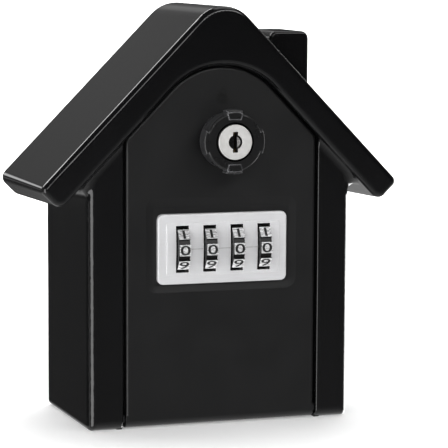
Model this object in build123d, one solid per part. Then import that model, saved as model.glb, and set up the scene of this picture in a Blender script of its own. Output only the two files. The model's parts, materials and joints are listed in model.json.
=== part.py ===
from build123d import *
import os
from math import cos, radians, sin, tan

os.makedirs("parts", exist_ok=True)

# A house-shaped key lock box for a wall, in millimetres. X points to the viewer's right, +Y into the
# wall and +Z up. The base stands on Z = 0. "Depth" is the distance back from the front face of the
# walls, so the wall behind the box is at depth BODY_DEPTH and what stands proud has a negative depth.

# ---- house ----
BODY_HALF = 50.0            # half the width of the walls at the front
BODY_DEPTH = 55.0
DRAFT = 1.03                # degrees: the moulded shell widens towards the wall
WALL = 2.8                  # shell wall
BODY_FRONT_R, BODY_FOOT_R = 3.6, 2.0
ROOF_PITCH = 45.7           # degrees
EAVE_X, EAVE_Z = 68.2, 87.7  # outer corner of the eave at the front, before rounding
EAVE_TOP_R, EAVE_FOOT_R, EAVE_CREASE_R = 2.3, 3.5, 3.0
ROOF_THICK = 10.4
ROOF_PROUD = 2.9            # the roof stands in front of the walls
ROOF_FRONT_R = 2.0
PEAK_R = 12.8               # outer round at the ridge
ARCH_R = 27.0               # inner round, over the door
WALL_LAP = 4.0              # the walls run this far up into the roof
CHIMNEY_X, CHIMNEY_TOP, CHIMNEY_DEPTH = (29.5, 45.2), 142.6, 31.0
CHIMNEY_R, CHIMNEY_FRONT_R = 3.0, 1.2
SCREW_X, SCREW_Z = 56.0, (20.0, 80.0)  # wall screws
WALL_HOLE_R = 2.75
PLATE_INSET = 1.5           # thickness of the back plate, which lies flush in the shell
BOSS_FRONT = 38.0
RIDGE_BOSS_Z = 142.4
FOOT_BOSS = (42.8, 7.4)
BOSS_PILOT_R = 1.2

# ---- doorway, door and hinge ----
DOOR_HALF = 36.05
GROOVE = 1.1                # gap down each side of the door
DOOR_ARCH_GAP = 0.55        # gap over the door
SHOULDER_R = 4.0            # round where the doorway's sides meet its slopes
DOOR_SKIN = 3.0
DOOR_EDGE_R = 1.0
TUNNEL_WALL, LEDGE_WIDE = 2.0, 2.2
LEDGE_DEPTH = (5.2, 6.6)
SEAL_THICK = 1.0
HINGE_DEPTH, HINGE_Z = 3.2, 3.7
BARREL_R = 3.2
PIN_R = 1.5
PIN_X = (22.0, 43.5)
RUN = 0.05                  # radial running clearance

# ---- mechanism box on the back of the door ----
MECH_HALF, MECH_LOW, MECH_TOP = 33.0, 8.0, 117.5
MECH_SHOULDER, MECH_FLAT = 100.0, 15.5
MECH_WALL = 2.0
MECH_DEPTH = 16.5
COVER_THICK = 1.2
COVER_SCREW_X, COVER_SCREW_Z = 27.8, (13.2, 47.0, 96.0)

# ---- number wheels and their plate ----
DIAL_Z = 65.15
DIAL_DEPTH = 4.1            # axis of the number wheels
DIAL_PITCH = 10.36
DIAL_COUNT = 4
FACETS = 10
WHEEL_FLAT = 9.5            # axis to the middle of a facet
WHEEL_W = 4.2
SLEEVE_R, SLEEVE_W, SLEEVE_FLAT = 4.6, 4.0, 3.4
PLATE_HALF, PLATE_TALL = 24.6, 25.5
PLATE_PROUD, PLATE_R, PLATE_EDGE_R = 1.2, 2.2, 0.6
CROWN_R, CROWN_PROUD, CROWN_HALF, CROWN_TALL = 58.0, 2.0, 21.5, 9.4
PLATE_SLOT, PLATE_SLOT_TALL = 2.42, 8.5
POST_X, POST_R = 22.6, 1.3
RECESS_DEPTH = 0.5
RECESS_RIM = (28.7, 49.4, 83.6)     # half width, foot and top of the dish at the door's face
RECESS_FLOOR = (25.9, 51.8, 80.4)   # and at its floor
CHEEK_X, CHEEK_THICK = (-20.6, 23.0), 1.5
CARRIER_Z = (57.5, 72.5)
CARRIER_BACK = 15.9
CLIP_THICK, CLIP_GROOVE_R = 0.7, 1.1
DETENT_X, DETENT_Z = (-13.0, 13.0), 48.0
LEAF_THICK = 0.5

# ---- knob, key cylinder and latch ----
KNOB_Z = 104.3
KNOB_PROUD = 14.5
KNOB_R, KNOB_FOOT_R, KNOB_TAB_R = 10.5, 10.1, 11.5
KNOB_FACE = 0.6             # the key plug stands this far in front of the knob
KNOB_BACK, TAB_BACK = 4.6, 9.3      # how far the grip and its tabs stay off the door
KNOB_WAIST_R = 8.8
KNOB_TABS = ((90.0, 15.5), (-90.0, 15.5), (0.0, 22.0), (180.0, 22.0))  # middle and half width, degrees
RIB_INNER_R, RIB_HIGH = 8.3, 0.3
COLLAR_R, COLLAR_DEEP = 6.7, 3.2    # dark gap round the key plug
CYLINDER_R = 6.4
PLUG_FACE_R, PLUG_FACE_THICK, PLUG_R = 6.25, 1.7, 5.0
TAIL_R = 2.5
KEYWAY_W, KEYWAY_TALL = 1.8, 7.2
WAFER_COUNT, WAFER_FIRST, WAFER_STEP = 4, -11.0, 1.9
SHAFT_R, SHAFT_BORE_R, SHAFT_FLAT = 4.5, 2.6, 3.6
SHAFT_ROUND_END, SHAFT_END = 18.2, 24.4
BUSH_R, BUSH_FLANGE_R, BUSH_FLANGE = 6.5, 8.2, 0.6
CAM_REACH, CAM_W, CAM_EYE_R = 24.0, 8.4, 7.4
CAM_DEPTH = (18.3, 20.5)
ECCENTRIC_R, ECCENTRIC = 7.2, 2.0
KEEPER_DEPTH, KEEPER_LIP, HOOD_BACK = (15.4, 17.4), 119.4, 28.0

# ---- locking bar and code reset ----
BAR_DEPTH = (3.7, 5.2)
BAR_HALF = 14.0
FINGER_HALF = 1.2
GUIDE_X, GUIDE_Z = (-8.0, 10.0), (84.0, 85.6)
RESET_Z, RESET_TRAVEL = 40.0, 6.0

# ---- key compartment ----
BOX_HALF, BOX_LOW = 45.5, 3.1
BOX_CUT = 12.0              # its lower corners are cut off, clear of the feet's screw bosses
BOX_LIFT = 3.6              # its top lies this far outside the roof's inner line
BOX_DEPTH = (7.2, 53.5)
BOX_WALL = 1.2
RIVET_X, RIVET_DEPTH, RIVET_R = 24.0, 23.0, 1.0
RAIL_Z, RAIL_HALF, RAIL_TALL, RAIL_THICK = 98.0, 32.0, 10.0, 1.5
RAIL_SCREW_X, RAIL_SCREW_R = 22.0, 1.6
HOOK_X, HOOK_R = (-11.0, 0.0, 11.0), 1.1
HOOK_REACH, HOOK_TIP = 9.0, (11.5, 5.5)

# ---- worked out from them ----
FRONT = (KNOB_PROUD - BODY_DEPTH) / 2
SLOPE = tan(radians(ROOF_PITCH))
PITCH_COS, PITCH_SIN = cos(radians(ROOF_PITCH)), sin(radians(ROOF_PITCH))
OPEN_HALF = DOOR_HALF + GROOVE
INNER_APEX = EAVE_Z + EAVE_X * SLOPE - ROOF_THICK / PITCH_COS
DIAL_X = [DIAL_PITCH * (i - (DIAL_COUNT - 1) / 2) for i in range(DIAL_COUNT)]
WHEEL_R = WHEEL_FLAT / cos(radians(180 / FACETS))
COVER_BACK = MECH_DEPTH + COVER_THICK
PLATE_BACK = BODY_DEPTH - PLATE_INSET
BOX_INSIDE = BOX_DEPTH[1] - BOX_WALL
ECCENTRIC_SHIFT = ECCENTRIC * sin(radians(45))
BAR_LIFT = 2 * ECCENTRIC_SHIFT      # travel of the locking bar over a quarter turn
BAR_TOP = KNOB_Z + ECCENTRIC_R + 0.7
BAR_LOW = DIAL_Z + WHEEL_R + 1.2
FINGER_X = [x + (WHEEL_W + SLEEVE_W) / 2 for x in DIAL_X]


# ---- helpers ----
def save(node, solid):
    """Write one named piece."""
    export_step(solid, f"parts/{node}.step")


def on_face(depth):
    """X-Z plane at a depth, seen from the front."""
    return Plane.XZ.offset(-(FRONT + depth))


def prism(sketch, near, far, taper=0.0):
    """Push an X-Z outline back from one depth to another. A negative taper widens it to the back."""
    return extrude(on_face(near) * sketch, amount=near - far, taper=taper)


def disc(radius, near, far, x=0.0, z=0.0):
    """Round bar along the depth."""
    return prism(Pos(x, z) * Circle(radius), near, far)


def on_knob(radius, near, far):
    """Round bar about the knob's axis."""
    return disc(radius, near, far, 0, KNOB_Z)


def bar_x(radius, x0, x1, depth, z):
    """Round bar along X."""
    return extrude(Plane.YZ.offset(x0) * Pos(FRONT + depth, z) * Circle(radius), amount=x1 - x0)


def on_spindle(radius, x0, x1):
    """Round bar about the number wheels' axis."""
    return bar_x(radius, x0, x1, DIAL_DEPTH, DIAL_Z)


def block(x0, x1, near, far, z0, z1):
    """Square block between two corners."""
    centre = Pos((x0 + x1) / 2, FRONT + (near + far) / 2, (z0 + z1) / 2)
    return centre * Box(x1 - x0, far - near, z1 - z0)


def cross_slot(x, z, arm, near, far):
    """Cross-shaped driver slot of a screw head."""
    width = 0.3
    upright = block(x - width, x + width, near, far, z - arm, z + arm)
    return upright + block(x - arm, x + arm, near, far, z - width, z + width)


def plate(points):
    """Closed outline through X-Z points."""
    return Polygon(*points, align=None)


def mirrored(points):
    """Right-hand points, bottom to top, then the same points on the left, top to bottom."""
    return points + [(-x, z) for x, z in reversed(points) if x]


def group(solids):
    """Several separate solids of one node."""
    return Compound(children=list(solids))


def top_corner(sketch):
    """Highest corner of an outline."""
    return sketch.vertices().sort_by(Axis.Y)[-1]


def roof_line(x, out=0.0):
    """Height of the roof's inner line at x, moved outwards by out."""
    return INNER_APEX + out / PITCH_COS - abs(x) * SLOPE


def house(half, low, out=0.0):
    """Five-cornered house outline whose slopes follow the roof's inner line."""
    return plate(mirrored([(half, low), (half, roof_line(half, out)), (0, roof_line(0, out))]))


def gable(half, low, out=0.0):
    """Doorway outline: upright sides, two slopes, soft shoulders and a round peak."""
    outline = fillet(top_corner(house(half, low, out)), ARCH_R + out)
    shoulders = outline.vertices().filter_by(lambda v: abs(abs(v.X) - half) < 0.01 and v.Y > low + 1)
    return fillet(shoulders, SHOULDER_R + out)


def chevron(inset=0.0):
    """The roof's section: two sloping legs with square-cut, rounded ends and a round ridge."""
    along = (PITCH_COS, -PITCH_SIN)
    normal = (PITCH_SIN, PITCH_COS)
    least_r = 0.7

    def corner(across):
        x = EAVE_X - inset * along[0] - across * normal[0]
        return x, EAVE_Z - inset * along[1] - across * normal[1]

    outer, inner = corner(inset), corner(ROOF_THICK - inset)
    ridge = (0, outer[1] + outer[0] * SLOPE)
    crease = (0, inner[1] + inner[0] * SLOPE)
    left = [(-x, z) for x, z in (inner, outer)]
    outline = plate([crease, inner, outer, ridge, left[1], left[0]])
    outline = fillet(outline.vertices().sort_by(Axis.Y)[:2], max(EAVE_FOOT_R - inset, least_r))
    ends = outline.vertices().sort_by(Axis.X)
    outline = fillet([ends[0], ends[-1]], max(EAVE_TOP_R - inset, least_r))
    high = outline.vertices().filter_by_position(Axis.X, -0.01, 0.01).sort_by(Axis.Y)[-1]
    outline = fillet(high, PEAK_R - inset)
    low = outline.vertices().filter_by_position(Axis.X, -0.01, 0.01).sort_by(Axis.Y)[0]
    return fillet(low, ARCH_R + inset)


def front_edges(solid, depth, low=-1.0, high=500.0):
    """Edges of a solid that lie at one depth, between two heights."""
    edges = solid.edges().filter_by_position(Axis.Y, FRONT + depth - 0.01, FRONT + depth + 0.01)
    return edges.filter_by(lambda e: low < e.center().Z < high)


# ---- fixed side ----
def chimney_outline(inset):
    """Chimney seen from the front, with its foot inside the roof."""
    left, right, top, foot = CHIMNEY_X[0] + inset, CHIMNEY_X[1] - inset, CHIMNEY_TOP - inset, 104.0
    outline = plate([(left, foot), (right, foot), (right, top), (left, top)])
    return fillet(outline.vertices().sort_by(Axis.Y)[-2:], max(CHIMNEY_R - inset, 0.8))


def boss_places():
    """Where the back plate is screwed on, with each boss's radius: ridge, eaves and floor corners."""
    from_end = 8.5
    eave_x = EAVE_X - from_end - ROOF_THICK / 2 * PITCH_SIN
    eave_z = EAVE_Z + from_end * SLOPE - ROOF_THICK / 2 * PITCH_COS
    places = [(0.0, RIDGE_BOSS_Z, 3.2)]
    for side in (-1, 1):
        places.append((side * eave_x, eave_z, 3.4))
        places.append((side * FOOT_BOSS[0], FOOT_BOSS[1], 2.9))
    return places


def plate_outline(gap):
    """House silhouette of the back plate, inside the shell's rim."""
    rim = 0.5 + gap
    walls = house(BODY_HALF - rim, 0.9 + rim, WALL_LAP)
    walls = fillet(walls.vertices().sort_by(Axis.Y)[:2], 1.0)
    return walls + chevron(rim) + chimney_outline(rim)


def walls_solid():
    """Solid block of the walls, flat underneath, with rounded front and foot edges."""
    walls = prism(house(BODY_HALF, 0.0, WALL_LAP), 0, BODY_DEPTH, -DRAFT)
    walls = fillet(front_edges(walls, 0, high=80), BODY_FRONT_R)
    walls = walls - block(-90, 90, -5, 60, -5, 0)
    feet = walls.edges().filter_by(lambda e: abs(e.center().X) > BODY_HALF - 4 and e.center().Z < 2)
    feet = feet.filter_by(lambda e: e.length > 1 and e.center().Y < FRONT + BODY_DEPTH - 1)
    return fillet(feet, BODY_FOOT_R)


def outer_house():
    """Solid outside of the shell: walls, roof and chimney, with their rounds."""
    roof = prism(chevron(), -ROOF_PROUD, BODY_DEPTH, -DRAFT)
    roof = fillet(front_edges(roof, -ROOF_PROUD), ROOF_FRONT_R)
    chimney = prism(chimney_outline(0), CHIMNEY_DEPTH, BODY_DEPTH, -DRAFT)
    chimney = fillet(front_edges(chimney, CHIMNEY_DEPTH, low=106), CHIMNEY_FRONT_R)
    solid = walls_solid() + roof + chimney
    creases = solid.edges().filter_by(
        lambda e: abs(abs(e.center().X) - BODY_HALF) < 1.2 and 85 < e.center().Z < 96 and e.length > 30
    )
    return fillet(creases, EAVE_CREASE_R)


def doorway(shell):
    """Cut the doorway and line it: a tunnel with a stop ledge for the seal, and blocks for the hinge pins."""
    tunnel = gable(OPEN_HALF + TUNNEL_WALL, 0.0, TUNNEL_WALL)
    shell = shell + prism(tunnel, 2.0, LEDGE_DEPTH[1]) - prism(gable(OPEN_HALF, -3.0), -6, LEDGE_DEPTH[1] + 0.5)
    ledge = gable(OPEN_HALF + 0.5, 9.0, 0.5) - gable(OPEN_HALF - LEDGE_WIDE, 0.0, -LEDGE_WIDE)
    shell = shell + prism(ledge, *LEDGE_DEPTH)
    for side in (-1, 1):
        inner, outer = sorted((side * OPEN_HALF, side * 45.0))
        shell = shell + block(inner, outer, 2.5, 7.0, 0.5, 8.0)
        pin = sorted((side * (OPEN_HALF - 1), side * PIN_X[1]))
        shell = shell - bar_x(PIN_R, *pin, HINGE_DEPTH, HINGE_Z)
    return shell


def house_shell():
    """Moulded outer house: walls, floor, hollow roof and chimney in one piece, open at the back."""
    hollow = house(BODY_HALF - WALL, WALL, WALL_LAP)
    shell = outer_house() - prism(hollow, DOOR_SKIN, 60, -DRAFT)
    shell = shell - prism(chevron(WALL), WALL - ROOF_PROUD, 60, -DRAFT)
    shell = shell - prism(chimney_outline(WALL), CHIMNEY_DEPTH + WALL, 60, -DRAFT)
    shell = doorway(shell)
    for x, z, radius in boss_places():
        shell = shell + disc(radius, BOSS_FRONT, PLATE_BACK, x, z)
    shell = shell + block(-1.5, 1.5, BOSS_FRONT, PLATE_BACK, RIDGE_BOSS_Z, RIDGE_BOSS_Z + 8)
    for side in (-1, 1):
        near_x, far_x = sorted((side * FOOT_BOSS[0], side * (BODY_HALF - 1.0)))
        shell = shell + block(near_x, far_x, BOSS_FRONT, PLATE_BACK, 1.0, FOOT_BOSS[1])
    shell = shell - prism(plate_outline(0.0), PLATE_BACK, 60)
    for x, z, radius in boss_places():
        shell = shell - disc(BOSS_PILOT_R, 42.0, 60, x, z)
    rims = front_edges(shell, 0, low=3, high=104).filter_by(
        lambda e: abs(abs(e.center().X) - OPEN_HALF) < 0.3
    )
    save("house_shell", fillet(rims, 0.8))


def wall_hole_places():
    """Four wall screws through the back."""
    return [(x, z) for x in (-SCREW_X / 2, SCREW_X / 2) for z in SCREW_Z]


def back_plate():
    """Steel plate that closes the back of the shell and meets the wall."""
    sheet = prism(plate_outline(0.1), PLATE_BACK, BODY_DEPTH)
    for x, z in wall_hole_places():
        sheet = sheet - disc(WALL_HOLE_R, 50, 60, x, z)
    for x, z, radius in boss_places():
        sheet = sheet - disc(1.6, 50, 60, x, z)
        sheet = sheet - disc(2.9, PLATE_BACK + 0.6, 60, x, z)
    save("back_plate", sheet)


def back_plate_screws():
    """Sunk cross-head screws, heads just below the back face."""
    screws = []
    for x, z, radius in boss_places():
        head = disc(2.7, PLATE_BACK + 0.6, BODY_DEPTH - 0.1, x, z)
        head = head - cross_slot(x, z, 1.7, BODY_DEPTH - 0.6, 60)
        screws.append(head + disc(BOSS_PILOT_R, 44.0, PLATE_BACK + 0.6, x, z))
    save("back_plate_screws", group(screws))


def box_outline(inset):
    """Steel compartment seen from the front, with cut corners at the floor."""
    half, low, out = BOX_HALF - inset, BOX_LOW + inset, BOX_LIFT - inset
    right = [(half - BOX_CUT, low), (half, low + BOX_CUT), (half, roof_line(half, out)), (0, roof_line(0, out))]
    outline = plate(mirrored(right))
    return fillet(top_corner(outline), ARCH_R + out)


def key_compartment():
    """Folded steel box that holds the keys, open to the door."""
    box = prism(box_outline(0), *BOX_DEPTH)
    box = box - prism(box_outline(BOX_WALL), BOX_DEPTH[0] - 1, BOX_INSIDE)
    for x, z in wall_hole_places():
        box = box - disc(WALL_HOLE_R, 50, 60, x, z)
    for side in (-1, 1):
        box = box - disc(RAIL_SCREW_R, 50, 60, side * RAIL_SCREW_X, RAIL_Z)
    for rivet in keeper_rivet_axes():
        box = box - rivet * Cylinder(RIVET_R, 8)
    save("key_compartment", box)


def keeper_rivet_axes():
    """Two rivets through the sloping top, square to the slope."""
    out = BOX_LIFT - BOX_WALL / 2
    axes = []
    for side in (-1, 1):
        x = side * RIVET_X
        axes.append(Pos(x, FRONT + RIVET_DEPTH, roof_line(x, out)) * Rot(0, side * ROOF_PITCH, 0))
    return axes


def keeper_plate():
    """Steel catch hanging from the top of the compartment, with a hood that is riveted on."""
    hood_thick, hood_foot = 1.5, 108.0
    inner = box_outline(BOX_WALL)
    below_lip = Pos(0, KEEPER_LIP - 100) * Rectangle(200, 200)
    below_hood = Pos(0, hood_foot - 100) * Rectangle(200, 200)
    blade = prism(inner - below_lip, *KEEPER_DEPTH)
    under_hood = gable(80, -50, BOX_LIFT - BOX_WALL - hood_thick)
    catch = blade + prism(inner - below_hood - under_hood, KEEPER_DEPTH[0], HOOD_BACK)
    for rivet in keeper_rivet_axes():
        catch = catch - rivet * Cylinder(RIVET_R, 8)
    save("keeper_plate", catch)


def keeper_rivets():
    """Rivets that hold the keeper."""
    rivets = []
    for axis in keeper_rivet_axes():
        shank = axis * Pos(0, 0, -0.75) * Cylinder(RIVET_R, 2.7)
        head = axis * Pos(0, 0, -2.5) * Cylinder(2.0, 0.8)
        tail = axis * Pos(0, 0, 0.95) * Cylinder(1.7, 0.7)
        rivets.append(shank + head + tail)
    save("keeper_rivets", group(rivets))


def hinge_pins():
    """Two stub pins, pressed into the shell, that the door turns on."""
    pins = [bar_x(PIN_R, *sorted((side * PIN_X[0], side * PIN_X[1])), HINGE_DEPTH, HINGE_Z) for side in (-1, 1)]
    save("hinge_pins", group(pins))


def door_seal():
    """Rubber strip on the stop ledge."""
    ring = gable(OPEN_HALF - 0.2, 9.2, -0.2) - gable(OPEN_HALF - 2.0, 0.0, -2.0)
    save("door_seal", prism(ring, LEDGE_DEPTH[0] - SEAL_THICK, LEDGE_DEPTH[0]))


def hook_rail():
    """Steel strip for the hooks, on the back of the compartment."""
    outline = Pos(0, RAIL_Z) * fillet(Rectangle(2 * RAIL_HALF, RAIL_TALL).vertices(), 2.0)
    strip = prism(outline, BOX_INSIDE - RAIL_THICK, BOX_INSIDE)
    for side in (-1, 1):
        strip = strip - disc(RAIL_SCREW_R, 40, 60, side * RAIL_SCREW_X, RAIL_Z)
    for x in HOOK_X:
        strip = strip - disc(HOOK_R, 40, 60, x, RAIL_Z)
    save("hook_rail", strip)


def key_hooks():
    """Wire hooks: a stem out of the rail, then a turned-up end."""
    root = FRONT + BOX_INSIDE
    hooks = []
    for x in HOOK_X:
        with BuildLine() as route:
            path = FilletPolyline(
                (x, root, RAIL_Z),
                (x, root - HOOK_REACH, RAIL_Z),
                (x, root - HOOK_TIP[0], RAIL_Z + HOOK_TIP[1]),
                radius=2 * HOOK_R,
            )
        section = Plane(origin=path @ 0, z_dir=path % 0) * Circle(HOOK_R)
        hooks.append(sweep(section, path=route.line))
    save("key_hooks", group(hooks))


def hook_rail_screws():
    """Screws of the hook rail, into the compartment's back."""
    seat = BOX_INSIDE - RAIL_THICK
    screws = []
    for side in (-1, 1):
        x = side * RAIL_SCREW_X
        head = disc(2.8, seat - 1.7, seat, x, RAIL_Z)
        head = fillet(head.edges().sort_by(Axis.Y)[:1], 0.7)
        head = head - block(x - 1.8, x + 1.8, 40, seat - 1.1, RAIL_Z - 0.4, RAIL_Z + 0.4)
        screws.append(head + disc(RAIL_SCREW_R, seat, BOX_DEPTH[1], x, RAIL_Z))
    save("hook_rail_screws", group(screws))


# ---- door ----
def mech_outline(inset):
    """Mechanism box behind the door skin: upright sides and a cut-off peak."""
    half, low, top = MECH_HALF - inset, MECH_LOW + inset, MECH_TOP - inset
    return plate(mirrored([(half, low), (half, MECH_SHOULDER), (MECH_FLAT, top), (0, top)]))


def cover_screw_places():
    """Six screws of the back cover."""
    return [(side * COVER_SCREW_X, z) for side in (-1, 1) for z in COVER_SCREW_Z]


def plate_post_places():
    """Four posts behind the corners of the dial plate."""
    tall = PLATE_TALL / 2 - 2.4
    return [(x, DIAL_Z + z) for x in (-POST_X, POST_X) for z in (-tall, tall)]


def dial_window(side_gap, reach):
    """Slots for the number wheels, joined by a low band for their code sleeves."""
    window = Pos(1.9, DIAL_Z) * Rectangle(40.4, 10.2)
    for x in DIAL_X:
        window = window + Pos(x, DIAL_Z) * Rectangle(WHEEL_W + 2 * side_gap, 2 * reach)
    return window


def dish_outline(half, low, high, corner):
    """Rounded rectangle of the shallow dish round the dial plate."""
    return Pos(0, (low + high) / 2) * fillet(Rectangle(2 * half, high - low).vertices(), corner)


def dial_dish():
    """Cutter of the dish: it slopes in from the door's face to a flat floor."""
    rim = on_face(0) * dish_outline(*RECESS_RIM, 4.0)
    floor = on_face(RECESS_DEPTH) * dish_outline(*RECESS_FLOOR, 1.5)
    return loft([rim, floor])


def door_panel():
    """Moulded door: smooth skin, hinge barrel along the foot and the walls of the mechanism box."""
    skin = prism(gable(DOOR_HALF, HINGE_Z, -DOOR_ARCH_GAP), 0, DOOR_SKIN)
    skin = fillet(front_edges(skin, 0, low=HINGE_Z + 1), DOOR_EDGE_R)
    barrel = bar_x(BARREL_R, -DOOR_HALF, DOOR_HALF, HINGE_DEPTH, HINGE_Z)
    foot = block(-DOOR_HALF, DOOR_HALF, 0, DOOR_SKIN + 0.2, HINGE_Z, HINGE_Z + 1.5)
    lip = gable(DOOR_HALF, 7.0, -DOOR_ARCH_GAP) - gable(DOOR_HALF - 2.5, 0, -DOOR_ARCH_GAP - 2.5)
    mech = prism(mech_outline(0) - mech_outline(MECH_WALL), DOOR_SKIN, MECH_DEPTH)
    web = block(-MECH_HALF, MECH_HALF, 2.5, 5.5, 5.0, 10.0)
    door = skin + barrel + foot + prism(lip, DOOR_SKIN, DOOR_SKIN + 1.0) + mech + web
    for x, z in cover_screw_places():
        door = door + disc(2.6, DOOR_SKIN - 0.5, MECH_DEPTH, x, z)
    door = door - dial_dish()
    door = door - prism(dial_window(0.5, 10.6), -2, 4)
    door = door - block(-22.5, 26.5, 1.3, 4, DIAL_Z - 3.0, DIAL_Z + 3.0)
    door = door - on_knob(BUSH_R, -2, 6)
    for x, z in plate_post_places():
        door = door - disc(POST_R, -2, 6, x, z)
    for x, z in cover_screw_places():
        door = door - disc(BOSS_PILOT_R, 8.0, 20, x, z)
    for side in (-1, 1):
        bore = sorted((side * (PIN_X[0] - 2), side * 40.0))
        door = door - bar_x(PIN_R + RUN, *bore, HINGE_DEPTH, HINGE_Z)
    save("door_panel", door)


def door_back_cover():
    """Steel cover over the mechanism, seen when the door is open."""
    sheet = prism(mech_outline(0.3), MECH_DEPTH, COVER_BACK)
    sheet = sheet - on_knob(SHAFT_R + 0.6, 10, 20)
    sheet = sheet - prism(Pos(0, RESET_Z) * SlotOverall(RESET_TRAVEL + 7.0, 3.4), 10, 20)
    for x, z in cover_screw_places():
        sheet = sheet - disc(1.4, 10, 20, x, z)
    save("door_back_cover", sheet)


def cover_screws():
    """Pan-head screws of the back cover."""
    screws = []
    for x, z in cover_screw_places():
        head = disc(2.4, COVER_BACK, COVER_BACK + 1.5, x, z)
        head = fillet(head.edges().sort_by(Axis.Y)[-1:], 0.6)
        head = head - cross_slot(x, z, 1.5, COVER_BACK + 0.8, 30)
        screws.append(head + disc(BOSS_PILOT_R, 9.0, COVER_BACK, x, z))
    save("cover_screws", group(screws))


def dial_plate():
    """Satin plate round the number wheels, crowned across the middle, with posts behind."""
    outline = Pos(0, DIAL_Z) * fillet(Rectangle(2 * PLATE_HALF, PLATE_TALL).vertices(), PLATE_R)
    slab = prism(outline, -PLATE_PROUD, RECESS_DEPTH)
    slab = fillet(front_edges(slab, -PLATE_PROUD), PLATE_EDGE_R)
    crown = bar_x(CROWN_R, -CROWN_HALF, CROWN_HALF, CROWN_R - CROWN_PROUD, DIAL_Z)
    crown = crown & block(-CROWN_HALF, CROWN_HALF, -3, 0, DIAL_Z - CROWN_TALL, DIAL_Z + CROWN_TALL)
    slab = slab + crown
    slab = slab - block(-18.6, 22.2, -1.0, 2, DIAL_Z - 5.2, DIAL_Z + 5.2)
    for x in DIAL_X:
        left, right = x - PLATE_SLOT, x + PLATE_SLOT
        slab = slab - block(left, right, -4, 2, DIAL_Z - PLATE_SLOT_TALL, DIAL_Z + PLATE_SLOT_TALL)
        slab = slab - block(left, right, -0.95, 2, DIAL_Z - 9.8, DIAL_Z + 9.8)
    for x, z in plate_post_places():
        slab = slab + disc(POST_R, 0.4, 5.6, x, z)
    save("dial_plate", slab)


def dial_plate_clips():
    """Spring washers pushed onto the plate's posts behind the skin."""
    clips = []
    for x, z in plate_post_places():
        clips.append(disc(2.5, DOOR_SKIN, DOOR_SKIN + 0.6, x, z) - disc(POST_R, 2, 6, x, z))
    save("dial_plate_clips", group(clips))


def dial_carrier():
    """Folded bracket behind the skin that carries the wheels' spindle."""
    bracket = block(CHEEK_X[0], CHEEK_X[1] + CHEEK_THICK, CARRIER_BACK - BOX_WALL, CARRIER_BACK, *CARRIER_Z)
    for x in CHEEK_X:
        bracket = bracket + block(x, x + CHEEK_THICK, DOOR_SKIN, CARRIER_BACK, *CARRIER_Z)
    save("dial_carrier", bracket - on_spindle(PIN_R, -30, 30))


def clip_places():
    """Left face of each spindle clip, one outside each cheek."""
    return CHEEK_X[0] - CLIP_THICK, CHEEK_X[1] + CHEEK_THICK


def dial_spindle():
    """Steel rod through the wheels, held in the carrier, with a groove for each clip."""
    first, last = clip_places()
    rod = on_spindle(PIN_R, first - 0.5, last + CLIP_THICK + 0.5)
    for x in clip_places():
        rod = rod - (on_spindle(PIN_R + 1, x, x + CLIP_THICK) - on_spindle(CLIP_GROOVE_R, x, x + CLIP_THICK))
    save("dial_spindle", rod)


def spindle_clips():
    """Retaining clips in the spindle's grooves."""
    clips = []
    for x in clip_places():
        ring = on_spindle(2.6, x, x + CLIP_THICK) - on_spindle(CLIP_GROOVE_R, x, x + CLIP_THICK)
        mouth = block(x, x + CLIP_THICK, DIAL_DEPTH, DIAL_DEPTH + 4, DIAL_Z - 0.7, DIAL_Z + 0.7)
        clips.append(ring - mouth)
    save("spindle_clips", group(clips))


def detent_spring():
    """Comb leaf with one finger under each wheel, which makes the wheels click."""
    tip = DIAL_Z - WHEEL_R - 0.25
    front, back = DOOR_SKIN, DOOR_SKIN + LEAF_THICK
    leaf = block(-20.0, 20.0, front, back, DETENT_Z - 2.5, DETENT_Z + 3.5)
    for x in DIAL_X:
        leaf = leaf + block(x - 1.5, x + 1.5, front, back, DETENT_Z + 3.0, tip)
        leaf = leaf + block(x - 1.5, x + 1.5, front, 10.0, tip - LEAF_THICK, tip)
    for x in DETENT_X:
        leaf = leaf - disc(1.0, 2, 5, x, DETENT_Z)
    save("detent_spring", leaf)


def detent_screws():
    """Screws of the detent spring."""
    seat = DOOR_SKIN + LEAF_THICK
    screws = []
    for x in DETENT_X:
        head = disc(2.0, seat, seat + 1.2, x, DETENT_Z)
        head = head - block(x - 1.4, x + 1.4, seat + 0.7, 9, DETENT_Z - 0.25, DETENT_Z + 0.25)
        screws.append(head + disc(1.0, DOOR_SKIN, seat, x, DETENT_Z))
    save("detent_screws", group(screws))


def dial_wheel(index, x):
    """Ten-sided number wheel with a groove between its flat number pads."""
    face = Plane.YZ.offset(x - WHEEL_W / 2) * Pos(FRONT + DIAL_DEPTH, DIAL_Z)
    outline = RegularPolygon(WHEEL_R, FACETS, rotation=180 / FACETS)
    groove_floor, groove_mouth = 8.7, 11.0
    for k in range(FACETS):
        turn = Rot(0, 0, 360 / FACETS * (k + 0.5))
        notch = plate([(groove_floor, -0.75), (groove_mouth, -1.35), (groove_mouth, 1.35), (groove_floor, 0.75)])
        outline = outline - turn * notch
    outline = outline - Circle(PIN_R + RUN)
    save(f"dial_wheel_{index}", extrude(face * outline, amount=WHEEL_W))


def code_sleeve(index, x):
    """Code sleeve beside its wheel, with the flat that the fence looks for."""
    start = x + WHEEL_W / 2
    sleeve = on_spindle(SLEEVE_R, start, start + SLEEVE_W)
    flat = block(start - 1, start + 5, DIAL_DEPTH - 6, DIAL_DEPTH + 6, DIAL_Z + SLEEVE_FLAT, DIAL_Z + 6)
    sleeve = sleeve - flat - on_spindle(PIN_R + RUN, start - 1, start + 5)
    save(f"code_sleeve_{index}", sleeve)


def knob_bush():
    """Flanged bush in the door that the knob's shaft turns in."""
    bush = on_knob(BUSH_R, 0, DOOR_SKIN + 0.2) + on_knob(BUSH_FLANGE_R, -BUSH_FLANGE, 0)
    save("knob_bush", bush - on_knob(SHAFT_R + RUN, -2, 6))


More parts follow.
